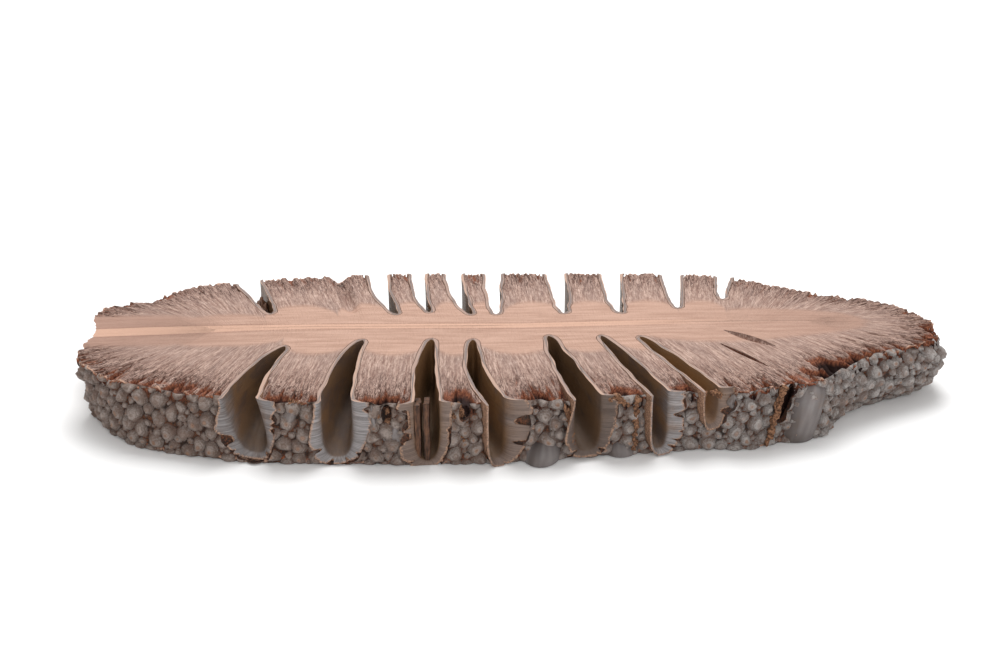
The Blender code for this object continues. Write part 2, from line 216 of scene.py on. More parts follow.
# The pockets in the body that its seed cases grew in, each a flattened pouch: narrow at the core and gaping
# at the rim. A lip's three numbers say how far it spreads sideways at its top, middle and foot. A crack is
# an angle round the mouth in degrees, a depth and a width.
# A case's soot is the share of painted shade that darkens its inside.
CASES = [
    dict(name="front_1", tip=(-66, -9.5), waist=(-71.5, -26), mouth=(-74.5, -42.5),
         gape=6.2, mouth_gape=9.0, lip=2.5, floor=2.5, roof=26, warmth=0.3, soot=0.2, lean=4.5,
         left_lip=(1.0, 4.5, 4.5), right_lip=(7.5, 3.0, 1.5), cracks=[(211, 0.85, 0.10), (300, 0.5, 0.06)]),
    dict(name="front_2", tip=(-43.7, -5), waist=(-47.5, -25), mouth=(-48, -44.5),
         gape=6.6, mouth_gape=8.5, lip=2.5, floor=2.0, roof=26, warmth=0.2,
         left_lip=(2.0, 3.6, 4.2), right_lip=(5.0, 4.6, 3.4),
         cracks=[(222, 0.6, 0.05), (262, 0.6, 0.05), (285, 0.5, 0.05)]),
    dict(name="front_3", tip=(-23.4, -4.5), waist=(-24.3, -25), mouth=(-23.2, -45),
         gape=5.9, mouth_gape=7.0, lip=1.8, floor=1.2, roof=26, warmth=0.75,
         left_lip=(5.4, 4.6, 5.6), right_lip=(3.2, 2.8, 2.6), cracks=[(178, 0.9, 0.1), (196, 0.9, 0.06)]),
    dict(name="front_4", tip=(-11.5, -4.8), waist=(-10, -25), mouth=(-5.2, -43.5),
         gape=5.0, mouth_gape=5.6, lip=4.4, floor=1.4, roof=26, warmth=0.7,
         left_lip=(0.3, 0.3, 0.6), right_lip=(7.0, 7.6, 4.6),
         cracks=[(357, 0.92, 0.036), (330, 0.4, 0.05)]),
    dict(name="front_5", tip=(11, -2), waist=(15.5, -23), mouth=(20.6, -42),
         gape=6.4, mouth_gape=7.6, lip=2.0, floor=2.5, roof=26, warmth=0.75, soot=0.45,
         left_lip=(0.4, 2.4, 4.2), right_lip=(5.2, 4.2, 2.6), cracks=[(300, 0.7, 0.06), (240, 0.5, 0.05)]),
    dict(name="front_6", tip=(26.5, -2), waist=(34, -22), mouth=(40.5, -39.5),
         gape=5.0, mouth_gape=5.2, lip=2.2, floor=2.0, roof=26, warmth=0.25,
         left_lip=(0.3, 0.3, 0.8), right_lip=(5.0, 5.6, 4.0), cracks=[(355, 0.5, 0.03), (300, 0.6, 0.05)]),
    dict(name="front_7", tip=(38, -2.5), waist=(47, -20), mouth=(55, -37.5),
         gape=4.3, mouth_gape=4.6, lip=1.6, floor=8.5, roof=28, warmth=1.0,
         left_lip=(0.4, 0.5, 0.8), right_lip=(4.6, 2.4, 1.2), cracks=[(330, 0.5, 0.08)]),
]
BACK_LIP = (1.2, 1.2, 1.0)
for number, tip, waist, mouth, gape, mouth_gape, lip, low_end, roof in [
    (1, (-73, 14.8), (-77.5, 27), (-82.5, 39), 5.0, 7.0, 1.2, 6, 27),
    (3, (-34.5, 14.5), (-39.5, 28), (-42.3, 44.5), 5.4, 6.2, 1.6, -6, 25),
    (4, (-24.5, 16), (-27.8, 29), (-29.3, 45.5), 4.2, 4.6, 1.6, -6, 25),
    (5, (-11.7, 14.3), (-16, 28), (-18, 45.5), 5.2, 5.4, 1.6, -6, 25),
    (6, (-4.6, 14.3), (-5.1, 28), (-5.8, 45.5), 4.6, 5.2, 1.6, -2, 25),
    (7, (16, 15.2), (15.6, 28), (14.4, 45.5), 5.8, 6.2, 1.6, -6, 25),
    (8, (33.5, 15.4), (32.3, 28), (32, 45.5), 5.6, 6.4, 1.6, -6, 25),
    (9, (51, 19.3), (51, 31), (51.3, 44.5), 4.9, 6.2, 1.6, -5, 25),
    (10, (65.4, 26.3), (66.3, 34), (67.8, 43), 3.0, 4.2, 1.4, 1, 25),
]:
    CASES.append(dict(
        name="back_%d" % number, tip=tip, waist=waist, mouth=mouth, gape=gape, mouth_gape=mouth_gape,
        lip=lip, floor=low_end, roof=roof, warmth=0.4, left_lip=BACK_LIP, right_lip=BACK_LIP, cracks=[]))
WALL = 1.0
GAP = 0.16
END_WIDTH = 1.6
RING_POWER = 2.8
TIP_ROUND = 0.07
STEP_CROWDING = 1.6
LIP_DROP = 1.3
LIP_LEVELS = (3.0, 10.0, 17.0)
SWAY = 0.5
POCKET_STEPS = 26
POCKET_POINTS = 44
POCKET_REACH = 12.0
POCKET_OPENING = 0.8
POCKET_WIDENING = 5


def case_ring(case, s, opening, grow, deepen, count):
    """Points round a case's section. s runs from its inner end to its mouth, and opening from there to its
    lips' edge. The section is grown by some mm and moved inward by some more."""
    a, b, c = (np.array(case[k], float) for k in ("tip", "waist", "mouth"))
    middle = 2 * b - (a + c) / 2
    place = (1 - s) ** 2 * a + 2 * s * (1 - s) * middle + s * s * c
    run = 2 * (1 - s) * (middle - a) + 2 * s * (c - middle)
    run /= np.linalg.norm(run)
    side = np.array([-run[1], run[0]])
    sway = noise.noise(Vector((case["tip"][0], s * 6, 0))) * SWAY
    angle = 2 * np.pi * (np.arange(count) + 0.5) / count
    opening = np.broadcast_to(opening, (count,))
    gape = END_WIDTH + (case["gape"] - END_WIDTH) * min(1.0, 2 * s) ** 0.7
    gape = gape + (case["mouth_gape"] - case["gape"]) * smooth_step(0.5, 1.0, s)
    narrowed = math.sqrt(max(0.02, 1 - max(0.0, 1 - s / TIP_ROUND) ** 2))
    height = (case["roof"] - case["floor"]) * (0.74 + 0.26 * s**0.6)
    c, up = np.cos(angle), np.sin(angle)
    across = np.sign(c) * np.abs(c) ** (2 / RING_POWER) * (gape / 2 + grow) * narrowed
    above = np.sign(up) * np.abs(up) ** (2 / RING_POWER) * (height / 2 + grow)
    level = (case["floor"] + case["roof"]) / 2 + above
    spread = 1 - np.cos(np.pi / 2 * opening)
    to_left = np.interp(level, LIP_LEVELS, case["left_lip"][::-1])
    to_right = np.interp(level, LIP_LEVELS, case["right_lip"][::-1])
    across = across + case.get("lean", 0.0) * s * s * (1 - level / THICKNESS)
    across = across + np.abs(c) ** 0.5 * spread * np.where(c < 0, -to_left, to_right) + sway
    level = level - np.clip(-up, 0, 1) ** 2 * LIP_DROP * spread
    along = case["lip"] * np.sin(np.pi / 2 * opening) - deepen
    flat = place + run * along[:, None] + side * across[:, None]
    return np.column_stack([flat, level])


def grid_faces(rows, columns, wrap, first=0, flip=False):
    """Four-sided faces over a grid of points, row by row."""
    j, i = np.meshgrid(np.arange(rows - 1), np.arange(columns if wrap else columns - 1), indexing="ij")
    i1 = (i + 1) % columns
    ring = [j * columns + i, j * columns + i1, (j + 1) * columns + i1, (j + 1) * columns + i]
    faces = np.stack(ring, -1).reshape(-1, 4) + first
    return faces[:, ::-1] if flip else faces


def closed_tube(rows, columns):
    """The faces of a tube made of rings of points, with a cap at both ends."""
    last = (rows - 1) * columns
    faces = list(grid_faces(rows, columns, True))
    return faces + [range(columns - 1, -1, -1), range(last, last + columns)]


def read_all(elements, what, width=1, kind=np.float32):
    """One value, or a row of them, that Blender keeps for each element of a mesh."""
    values = np.zeros(len(elements) * width, kind)
    elements.foreach_get(what, values)
    return values.reshape(-1, width) if width > 1 else values


def new_piece(name, points, faces, layers=None, material=None):
    """A mesh piece from points in mm, with a pair of numbers kept at each point in every named layer."""
    mesh = bpy.data.meshes.new(name)
    placed = (np.asarray(points, float) - (MIDDLE[0], MIDDLE[1], 0)) * MM
    mesh.from_pydata(placed.tolist(), [], [tuple(map(int, f)) for f in faces])
    corner = read_all(mesh.loops, "vertex_index", 1, np.int32)
    for layer, values in (layers or {}).items():
        flat = np.asarray(values, np.float32)[corner].ravel()
        mesh.uv_layers.new(name=layer).data.foreach_set("uv", flat)
    mesh.shade_smooth()
    mesh.update()
    if material:
        mesh.materials.append(material)
    piece = bpy.data.objects.new(name, mesh)
    bpy.context.scene.collection.objects.link(piece)
    return piece


def pocket(case):
    """A cutter for the pocket that one case fills, with a hair of room round it."""
    grow = WALL + GAP
    steps = np.linspace(0, 1, POCKET_STEPS) ** STEP_CROWDING
    rings = [case_ring(case, s, 0.0, grow, grow, POCKET_POINTS) for s in steps]
    widening = np.linspace(0, POCKET_OPENING, POCKET_WIDENING + 1)[1:]
    rings += [case_ring(case, 1.0, q, grow, 0.3, POCKET_POINTS) for q in widening]
    rings.append(case_ring(case, 1.0, POCKET_OPENING, grow, -POCKET_REACH, POCKET_POINTS))
    return new_piece("cutter", np.vstack(rings), closed_tube(len(rings), POCKET_POINTS))


def mouth_s(place):
    """How far along the rim the point nearest to a place lies."""
    return rim_s[np.argmin(np.linalg.norm(rim - place, axis=1))]


# Its sawn faces, with their cracks, hollows and ragged edge
BODY_SEED = 11
TOP_ROWS = 36
CORE_ROWS = 3
RIM_ROWS = 8
EDGE_SHARES = {1: 0.06, 2: 0.16}
EDGE_ROOT = 0.8
UNDER_ROWS = 8
ROW_CROWDING = 1.5
RIM_SINK = 0.7
RIM_ROOT = 1.9
RIM_SHADE = 2.2
RAGGED = (-0.7, 1.1)
BACK_RAGGED = 1.9
TIP_END_RAGGED = 1.0
SUNK_BACK = 1.3
CORE_REACH = (0.90, 0.66)
CORE_DIPS = [(-60, 42)]
STEM_CORE = (-8.5, 12.5)
STEM_CORE_END = -101.0
CRACKS = 900
CRACK_STARTS = ((-2, 1.5), (2, 12))
CRACK_CHANCES = (0.7, 0.3)
CRACK_REACH = (2.0, 12.0)
CRACK_DEPTH = (0.6, 2.8)
CRACK_WIDTH = (0.40, 0.66)
CRACK_SWAY = (0.2, 0.9)
CRACK_COLUMNS = 8
INNER_CRACK = (0.6, 0.5)
HOLLOW_DEPTH = 2.6
RIDGE_HEIGHT = 0.34
# A soft valley over a case that the saw just missed: its two ends, half width and depth
VALLEY = ((-48, 15.5), (-53.5, 40), 3.4, 2.6)
GROOVE_RINGS = 16
GROOVE_POINTS = 20
# Narrow grooves over two more cases: their two ends, half width, depth, how blunt they end, and how strongly
# they darken with depth, rust-brown stain first and then painted shade deep down
GROOVES = [((61, -7.4), (73, -23), 0.75, 6.0, 0.5, 1.0), ((63.2, 2.3), (77, -9.5), 1.7, 1.7, 0.8, 0.35)]
DEEPEST = 4.4
# Where the down has rotted out: place on the rim, half length along it, reach inward and depth
HOLLOWS = [
    ((93, -26), 9, 13, DEEPEST), ((104, -15), 7, 8, 2.4), ((-94, -37), 9, 6, 2.6), ((-60, -45), 6, 7, 2.8),
    ((-34, -46), 6, 7, 3.2), ((-14, -45), 3.5, 11, 3.6), ((10, -43), 5, 8, 3.6), ((31, -41), 4, 8, 3.4),
    ((48, -39), 4, 7, 3.0), ((122, -3), 6, 6, 1.3), ((-112, 27), 7, 5, 2.0),
]


def valley_depth(x, y):
    """The soft valley where the saw just missed a case."""
    (ax, ay), (bx, by), half, deep = VALLEY
    along = ((x - ax) * (bx - ax) + (y - ay) * (by - ay)) / ((bx - ax) ** 2 + (by - ay) ** 2)
    off = np.hypot(x - ax - along * (bx - ax), y - ay - along * (by - ay))
    return deep * smooth_step(half, 0.0, off) * smooth_step(-0.15, 0.35, along)


def groove_cutter(start, end, half, deep, blunt, stain_and_shade):
    """A cutter for a groove in the top face: a long spindle, pointed at both ends."""
    a, b = np.array(start, float), np.array(end, float)
    run = (b - a) / np.linalg.norm(b - a)
    side = np.array([-run[1], run[0]])
    angle = 2 * np.pi * np.arange(GROOVE_POINTS) / GROOVE_POINTS
    rings = []
    for q in np.linspace(0.0, 1.0, GROOVE_RINGS):
        fat = math.sin(math.pi * min(max(q, 0.03), 0.97)) ** blunt
        flat = a + (b - a) * q + side * (half * fat * np.cos(angle))[:, None]
        rings.append(np.column_stack([flat, THICKNESS + deep * fat * np.sin(angle)]))
    points = np.vstack(rings)
    below = np.clip((THICKNESS - points[:, 2]) / deep, 0, 1)
    layers = {
        "fan": points[:, :2] * 1.5,
        # The relief value rises with depth: rust-brown stain first, then near-black painted shade deep in
        # the groove.
        "relief": np.column_stack([0.4 + 0.3 * stain_and_shade + below * deep * stain_and_shade, 0.4 + 0 * below]),
        "zone": np.column_stack([-4 + 0 * below, 9 + 0 * below]),
    }
    return new_piece("cutter", points, closed_tube(GROOVE_RINGS, GROOVE_POINTS), layers)


def core_distance(points, t, length):
    """How far inside the edge of the hard core a point lies. Between two cases the core reaches outward."""
    at = np.sort([mouth_s(case["mouth"]) for case in CASES] + [mouth_s(dip) for dip in CORE_DIPS])
    at = np.concatenate([[at[-1] - rim_length], at, [at[0] + rim_length]])
    i = np.clip(np.searchsorted(at, rim_s, side="right") - 1, 0, len(at) - 2)
    between = (rim_s - at[i]) / (at[i + 1] - at[i])
    arch = np.sin(np.pi * np.clip(between, 0, 1)) ** 0.5
    edge_t = CORE_REACH[0] + (CORE_REACH[1] - CORE_REACH[0]) * arch
    fan_zone = (t - edge_t) * length
    x, y = points[:, 0], points[:, 1]
    stem_zone = np.minimum(y - STEM_CORE[0], STEM_CORE[1] - y) - 0.3 * np.maximum(0, x - STEM_CORE_END)
    return np.maximum(fan_zone, stem_zone)


NOISE_ROWS = 64


def value_noise(seed, u, v, cell_u, cell_v, period=rim_length):
    """Smooth random values from 0 to 1 over u, which comes round after a period, and v."""
    across = max(3, round(period / cell_u))
    table = np.random.default_rng(seed).random((NOISE_ROWS, across))
    a, b = u / period * across, np.abs(v) / cell_v
    i, j = np.floor(a).astype(int), np.floor(b).astype(int)
    fa, fb = a - i, b - j
    fa, fb = fa * fa * (3 - 2 * fa), fb * fb * (3 - 2 * fb)
    i0, i1, j0, j1 = i % across, (i + 1) % across, j % NOISE_ROWS, (j + 1) % NOISE_ROWS
    low = table[j0, i0] * (1 - fa) + table[j0, i1] * fa
    high = table[j1, i0] * (1 - fa) + table[j1, i1] * fa
    return low * (1 - fb) + high * fb


def face_relief(seed, s, v):
    """How deep the face lies below the saw cut, at a length along the rim and a distance in from it."""
    draw = np.random.default_rng(seed)
    depth = np.zeros(v.shape)
    step = rim_length / COLUMNS
    for _ in range(CRACKS):
        at = draw.uniform(0, rim_length)
        start = draw.choice([draw.uniform(*span) for span in CRACK_STARTS], p=CRACK_CHANCES)
        shorter, shallower = INNER_CRACK if start > CRACK_STARTS[1][0] else (1.0, 1.0)
        reach = draw.uniform(*CRACK_REACH) * shorter
        deep = draw.uniform(*CRACK_DEPTH) * shallower
        width = draw.uniform(*CRACK_WIDTH)
        sway, turn = draw.uniform(*CRACK_SWAY), draw.uniform(0, 6)
        near = int(at / step) + np.arange(-CRACK_COLUMNS, CRACK_COLUMNS + 1)
        columns = near % COLUMNS
        vv = v[:, columns]
        along = (vv - start) / reach
        fade = np.clip(1 - np.abs(2 * along - 0.75) / 1.3, 0, 1) ** 0.5
        offset = (near * step - at)[None, :] - sway * np.sin(vv / 3.5 + turn)
        shape = np.clip(1 - np.abs(offset) / (width * (0.35 + 0.65 * fade)), 0, 1) ** 0.7
        depth[:, columns] = np.maximum(depth[:, columns], deep * shape * fade)
    s = np.broadcast_to(s, v.shape)
    hollows = value_noise(seed + 1, s, v, 3.2, 7.0) * 0.65
    hollows = hollows + value_noise(seed + 2, s, v, 1.3, 3) * 0.35
    patches = value_noise(seed + 4, s, v, 11.0, 30.0)
    hollows = hollows + 0.30 * (patches - 0.62)
    depth += HOLLOW_DEPTH * smooth_step(0.57, 0.80, hollows) * smooth_step(5.0, 0.3, v)
    x, y = rim[:, 0], rim[:, 1]
    depth *= (1 - 0.6 * smooth_step(5, 20, y))[None, :]
    for middle, size, far, deep in HOLLOWS:
        near = np.exp(-(((x - middle[0]) ** 2 + (y - middle[1]) ** 2) / size**2))[None, :]
        fingers = value_noise(seed + 5, s, v, 1.9, 8.0)
        depth += deep * near * smooth_step(0.36, 0.62, fingers) * smooth_step(far, far * 0.3, v)
    ridges = value_noise(seed + 3, s, v, 0.85, 7.0)
    bark = value_noise(seed + 6, s, v, 0.55, 1.8)
    depth += RIDGE_HEIGHT * (ridges + 0.6 * bark) * smooth_step(22, 5, v)
    return depth


def face_rows(edge, steps, seed, share):
    """Rows over one sawn face, from its edge to the pith. Each has its points, their depth, how far in they
    lie, the same as a share, and how far inside the core and off the pith they are."""
    length = np.linalg.norm(core - edge, axis=1)
    v = steps[:, None] * length[None, :]
    xy = edge[None] + (core - edge)[None] * steps[:, None, None]
    zone = np.stack([core_distance(xy[j], steps[j], length) for j in range(len(steps))])
    depth = face_relief(seed, rim_s[None, :], v) * share * smooth_step(1.5, -2.5, zone)
    made = []
    for j in range(len(steps)):
        away = xy[j][:, 1] - pith_y(xy[j][:, 0])
        made.append((xy[j], depth[j], v[j], np.full(COLUMNS, steps[j]), zone[j], away))
    for j in range(1, CORE_ROWS + 1):
        inner = core + (pith - core) * j / CORE_ROWS
        away = inner[:, 1] - pith_y(inner[:, 0])
        none = np.zeros(COLUMNS)
        made.append((inner, none, length + CORE_HALF * j / CORE_ROWS, none + 1, zone[-1] + 2.0 * j, away))
    return made


def within_reach(points):
    """Points in plan, none of them further out than the whole object reaches."""
    return np.clip(points - MIDDLE, np.negative(REACH), REACH) + MIDDLE


def body_grid():
    """The whole body's points, row by row from the pith over the top face, down the rim and under it."""
    rows = []
    edge_low = rim + rim_out * (rim_bulge(rim[:, 0], rim[:, 1], 0.0) - RIM_SINK)[:, None]
    top_t = (np.arange(TOP_ROWS + 1) / TOP_ROWS) ** ROW_CROWDING
    low_t = (np.arange(UNDER_ROWS + 1) / UNDER_ROWS) ** ROW_CROWDING
    ragged = value_noise(BODY_SEED + 8, rim_s, 0 * rim_s, 1.1, 1.0)
    ragged = 0.6 * ragged + 0.4 * value_noise(BODY_SEED + 9, rim_s, 0 * rim_s, 0.6, 1.0)
    wild = np.maximum(smooth_step(-70, -85, rim[:, 0]), smooth_step(84, 92, rim[:, 0])) * in_front
    ragged = 0.5 + (ragged - 0.5) * (0.4 + 0.6 * wild)
    ragged = RAGGED[0] + (RAGGED[1] - RAGGED[0]) * ragged + BACK_RAGGED * smooth_step(0, 20, rim[:, 1])
    ragged = ragged + TIP_END_RAGGED * smooth_step(85, 105, rim[:, 0]) * in_front
    sunk = 0.0
    for at, reach, _, deep in HOLLOWS:
        sunk = np.maximum(sunk, (deep / DEEPEST) ** 3 * np.exp(-np.sum((rim - at) ** 2, axis=1) / reach**2))
    ragged = ragged - SUNK_BACK * sunk
    edge_top = within_reach(rim + rim_out * ragged[:, None])
    top = face_rows(edge_top, top_t, BODY_SEED, 1.0)
    low = face_rows(edge_low, low_t, BODY_SEED + 50, 0.5)
    for xy, depth, v, t, zone, away in reversed(top):
        level = THICKNESS - depth - valley_depth(xy[:, 0], xy[:, 1])
        rows.append((np.column_stack([xy, level]), v, depth, t, zone, away))
    for r in range(1, RIM_ROWS):
        share = EDGE_SHARES.get(r, r / RIM_ROWS)
        edge_level = THICKNESS - top[0][1] - valley_depth(top[0][0][:, 0], top[0][0][:, 1])
        z = edge_level * (1 - share) + low[0][1] * share
        out = rim_bulge(rim[:, 0], rim[:, 1], z) - (RIM_ROOT if r > 1 else EDGE_ROOT)
        xy = rim + rim_out * out[:, None]
        none = np.zeros(COLUMNS)
        rows.append((np.column_stack([xy, z]), z - THICKNESS, none + RIM_SHADE, none, top[0][4], top[0][5]))
    for xy, depth, v, t, zone, away in low:
        rows.append((np.column_stack([xy, depth]), v, depth, t, zone, away))
    points = np.vstack([row[0] for row in rows])
    layers = {
        "fan": np.vstack([np.column_stack([rim_s, row[1]]) for row in rows]),
        "relief": np.vstack([np.column_stack([row[2], row[3]]) for row in rows]),
        "zone": np.vstack([np.column_stack([row[4], row[5]]) for row in rows]),
    }
    faces = list(grid_faces(len(rows), COLUMNS, True, flip=True))
    faces.append(range(COLUMNS))
    faces.append(range(len(rows) * COLUMNS - 1, (len(rows) - 1) * COLUMNS - 1, -1))
    return points, faces, layers


def paint(red, green, blue):
    """A colour from the 0 to 255 values that a screen shows."""
    return tuple(((c / 255 + 0.055) / 1.055) ** 2.4 for c in (red, green, blue)) + (1.0,)


class Shade:
    """A number or a colour that changes over a surface: what one node of its material gives out."""

    def __init__(self, socket):
        self.socket = socket

    def __add__(self, other):
        return worked_out("ADD", self, other)

    def __radd__(self, other):
        return worked_out("ADD", other, self)

    def __sub__(self, other):
        return worked_out("SUBTRACT", self, other)

    def __rsub__(self, other):
        return worked_out("SUBTRACT", other, self)

    def __mul__(self, other):
        return worked_out("MULTIPLY", self, other)

    def __abs__(self):
        return worked_out("ABSOLUTE", self, 0.0)


def put(tree, kind, gives=0, sets=None, **inputs):
    """What a new node gives out. An input is named after its socket, or by an underscore and its number."""
    new = tree.nodes.new(kind)
    for key, value in (sets or {}).items():
        setattr(new, key, value)
    for key, value in inputs.items():
        socket = new.inputs[int(key[1:])] if key[0] == "_" else new.inputs[key.replace("_", " ")]
        if isinstance(value, Shade):
            tree.links.new(value.socket, socket)
        else:
            socket.default_value = value
    return Shade(new.outputs[gives])


def worked_out(operation, a, b):
    tree = (a if isinstance(a, Shade) else b).socket.id_data
    return put(tree, "ShaderNodeMath", 0, {"operation": operation}, _0=a, _1=b)


def blend(share, a, b):
    """Colour a where the share is 0, and colour b where it is 1."""
    return put(share.socket.id_data, "ShaderNodeMix", 2, {"data_type": "RGBA"}, _0=share, _6=a, _7=b)


def coats(colour, *layers):
    """A colour under thin coats of paint, each with the share of the surface that it takes."""
    for share, tone in layers:
        colour = blend(share, colour, paint(*tone))
    return colour


def share_of(value, low, high):
    """0 at low, 1 at high and beyond, with a soft start and end."""
    sets = {"interpolation_type": "SMOOTHSTEP"}
    return put(value.socket.id_data, "ShaderNodeMapRange", 0, sets, Value=value, From_Min=low, From_Max=high)


def split(tree, threesome):
    """The three numbers that travel together as one."""
    parts = put(tree, "ShaderNodeSeparateXYZ", _0=threesome).socket.node.outputs
    return [Shade(part) for part in parts]


def layer_of(material, name):
    """The pair of numbers that a piece keeps in a layer."""
    tree = material.node_tree
    return split(tree, put(tree, "ShaderNodeUVMap", 0, {"uv_map": name}))[:2]


def place_mm(material):
    """The place on the piece in mm."""
    tree = material.node_tree
    place = put(tree, "ShaderNodeTexCoord", "Object")
    return split(tree, put(tree, "ShaderNodeVectorMath", 0, {"operation": "SCALE"}, _0=place, Scale=1 / MM))


def grain(x, y, z=0.0, detail=3.0, rough=0.6):
    """Cloudy noise over three numbers, one cell to a unit."""
    tree = x.socket.id_data
    place = put(tree, "ShaderNodeCombineXYZ", _0=x, _1=y, _2=z)
    return put(tree, "ShaderNodeTexNoise", Vector=place, Scale=1.0, Detail=detail, Roughness=rough)


def new_material(name, roughness=0.8, shine=0.25):
    material = bpy.data.materials.new(name)
    material.use_nodes = True
    shader = material.node_tree.nodes["Principled BSDF"]
    shader.inputs["Roughness"].default_value = roughness
    shader.inputs["Specular IOR Level"].default_value = shine
    return material


def finish_material(material, colour, height, bump_mm):
    """Joins the colour up, and a fine grain that is too small to be modelled."""
    tree = material.node_tree
    shader = tree.nodes["Principled BSDF"]
    bump = put(tree, "ShaderNodeBump", Strength=1.0, Distance=bump_mm * MM, Height=height)
    tree.links.new(colour.socket, shader.inputs["Base Color"])
    tree.links.new(bump.socket, shader.inputs["Normal"])


body_wood = new_material("sawn_cone", 0.75)
along_rim, inward = layer_of(body_wood, "fan")
depth, from_rim = layer_of(body_wood, "relief")
zone, from_pith = layer_of(body_wood, "zone")
x, y, z = place_mm(body_wood)
streaks = grain(along_rim * 1.15, inward * 0.1, z, 5.0, 0.7)
fine = grain(along_rim * 2.5, inward * 0.32, z, 4.0, 0.7)
broad = grain(along_rim * 0.22, inward * 0.05, z, 2.0)
flecks = grain(x * 1.6, y * 1.9, 0.0, 5.0, 0.75)
bark = grain(along_rim * 1.9, inward * 0.8, z, 4.0, 0.75)
near_rim = share_of(from_rim, 0.55, 0.0)
tissue = coats(
    blend(share_of(streaks, 0.3, 0.7), paint(136, 104, 92), paint(208, 178, 163)),
    (near_rim * 0.4, (146, 116, 104)),
    (share_of(broad, 0.4, 0.65) * 0.4, (152, 128, 119)),
    (share_of(fine, 0.5, 0.64) * 0.5, (110, 80, 67)),
    (share_of(fine, 0.44, 0.32) * 0.6, (230, 204, 190)),
    (share_of(bark, 0.53, 0.62) * (near_rim * 0.55 + 0.3), (78, 50, 40)),
)
for thin, crosswise, lengthways in ((0.030, 0.9, 0.07), (0.026, 1.6, 0.11), (0.022, 2.4, 0.2)):
    vein = grain(along_rim * crosswise, inward * lengthways, z, 1.5)
    vein = share_of(abs(vein - 0.5), thin, thin * 0.4)
    tissue = coats(tissue, (vein * (near_rim * 0.8 + 0.15), (70, 44, 35)))
edge_line = share_of(from_rim, 0.016, 0.006) * share_of(broad, 0.4, 0.52)
tissue = coats(tissue, (edge_line * 0.7, (204, 164, 140)))
lengthwise = grain(x * 0.05, from_pith * 0.6, 0.0, 5.0, 0.65)
ends = share_of(x, -70.0, -112.0) + share_of(x, 30.0, 100.0) * 0.7
pith_fade = share_of(x, 75.0, 20.0)
beyond_pith = abs(from_pith) - (1.5 + share_of(x, -60.0, -112.0) * 1.3)
pith_line = share_of(beyond_pith, 1.1, 0.6) * share_of(beyond_pith, 0.0, 0.4)
pith_line = pith_line * (pith_fade * share_of(flecks, 0.35, 0.6))
core_wood = coats(
    blend(share_of(lengthwise, 0.3, 0.7), paint(175, 139, 121), paint(200, 164, 146)),
    (share_of(flecks, 0.5, 0.66) * 0.32, (160, 120, 100)),
    (ends * 0.62, (154, 121, 107)),
    (share_of(beyond_pith, 0.4, -0.4) * (pith_fade * 0.75), (213, 171, 148)),
    (pith_line * 0.5, (140, 100, 82)),
)
colour = blend(share_of(zone + (flecks - 0.5) * 3.0, -2.6, 1.6), tissue, core_wood)
core_edge = share_of(zone, -0.9, -0.3) * share_of(zone, 0.4, -0.2) * share_of(flecks, 0.5, 0.62)
colour = coats(colour, (core_edge * 0.55, (120, 82, 62)))
rust = blend(share_of(flecks, 0.4, 0.65), paint(92, 46, 32), paint(172, 108, 76))
colour = blend(share_of(depth + fine * 0.5, 0.85, 1.7), colour, rust)
# Deeper than 1.3 mm the colour goes on to near-black: painted shade in the deep cracks, hollows, grooves and
# the rim's sides under the tips.
colour = coats(colour, (share_of(depth, 1.3, 3.0), (40, 20, 16)))
finish_material(body_wood, colour, streaks * 2.0 + fine, 0.25)


def cut(piece, operation, cutter):
    """Saws piece with cutter, which is thrown away, and keeps the result as its mesh."""
    modifier = piece.modifiers.new("cut", "BOOLEAN")
    modifier.operation = operation
    modifier.solver = "MANIFOLD"
    modifier.object = cutter
    result = bpy.data.meshes.new_from_object(piece.evaluated_get(bpy.context.evaluated_depsgraph_get()))
    piece.modifiers.clear()
    piece.data = result
    bpy.data.objects.remove(cutter)


def run_past_seam(piece):
    """Lets the length along the rim run on over the one column of faces where it starts again from 0."""
    mesh = piece.data
    fan = read_all(mesh.uv_layers["fan"].data, "uv", 2)
    corners = read_all(mesh.polygons, "loop_start", 1, np.int32)[:-2, None] + np.arange(4)
    along = fan[corners, 0]
    past = (np.ptp(along, axis=1) > rim_length / 2)[:, None] & (along < rim_length / 2)
    fan[corners, 0] = along + rim_length * past
    mesh.uv_layers["fan"].data.foreach_set("uv", fan.ravel())


body = new_piece("cone", *body_grid(), body_wood)
run_past_seam(body)
for case in CASES:
    cut(body, "DIFFERENCE", pocket(case))
for groove in GROOVES:
    cut(body, "DIFFERENCE", groove_cutter(*groove))
body.data.set_sharp_from_angle(angle=math.radians(60))
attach(body, "root")
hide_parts("cone_body")

# The bract tips
# The rim is paved with the blunt woody ends of the bracts: small grey-brown knobs pressed against one
# another, many with a paler navel. They are the skin of the body's rim, under the saw cut's ragged edge.
TIP_SEED = 5
TIP_SIZES = [(1900, (2.0, 2.5)), (3500, (1.5, 1.9)), (7000, (1.1, 1.4)), (7000, (0.8, 1.0))]
TIP_PACKING = 0.77
TIP_HEIGHT = (1.8, 2.7)
TIP_BASE = 0.8
TIP_COLUMNS = 1560
TIP_LEVELS = 48
TIP_ROOT = 2.6
TIP_DROP = (0.4, 1.5)
STEM_SAWN = (-119.0, -13.0, 18.0)


def on_rim(s, z, out):
    """The point so far along the rim, at a height, and so far out of the rim's own bulge."""
    wrapped = np.append(rim_s, rim_length)
    at = [np.interp(s % rim_length, wrapped, np.append(rim[:, k], rim[0, k])) for k in (0, 1)]
    to = [np.interp(s % rim_length, wrapped, np.append(rim_out[:, k], rim_out[0, k])) for k in (0, 1)]
    out = out + rim_bulge(at[0], at[1], z) - RIM_SINK
    return np.stack(np.broadcast_arrays(at[0] + to[0] * out, at[1] + to[1] * out, z), -1)


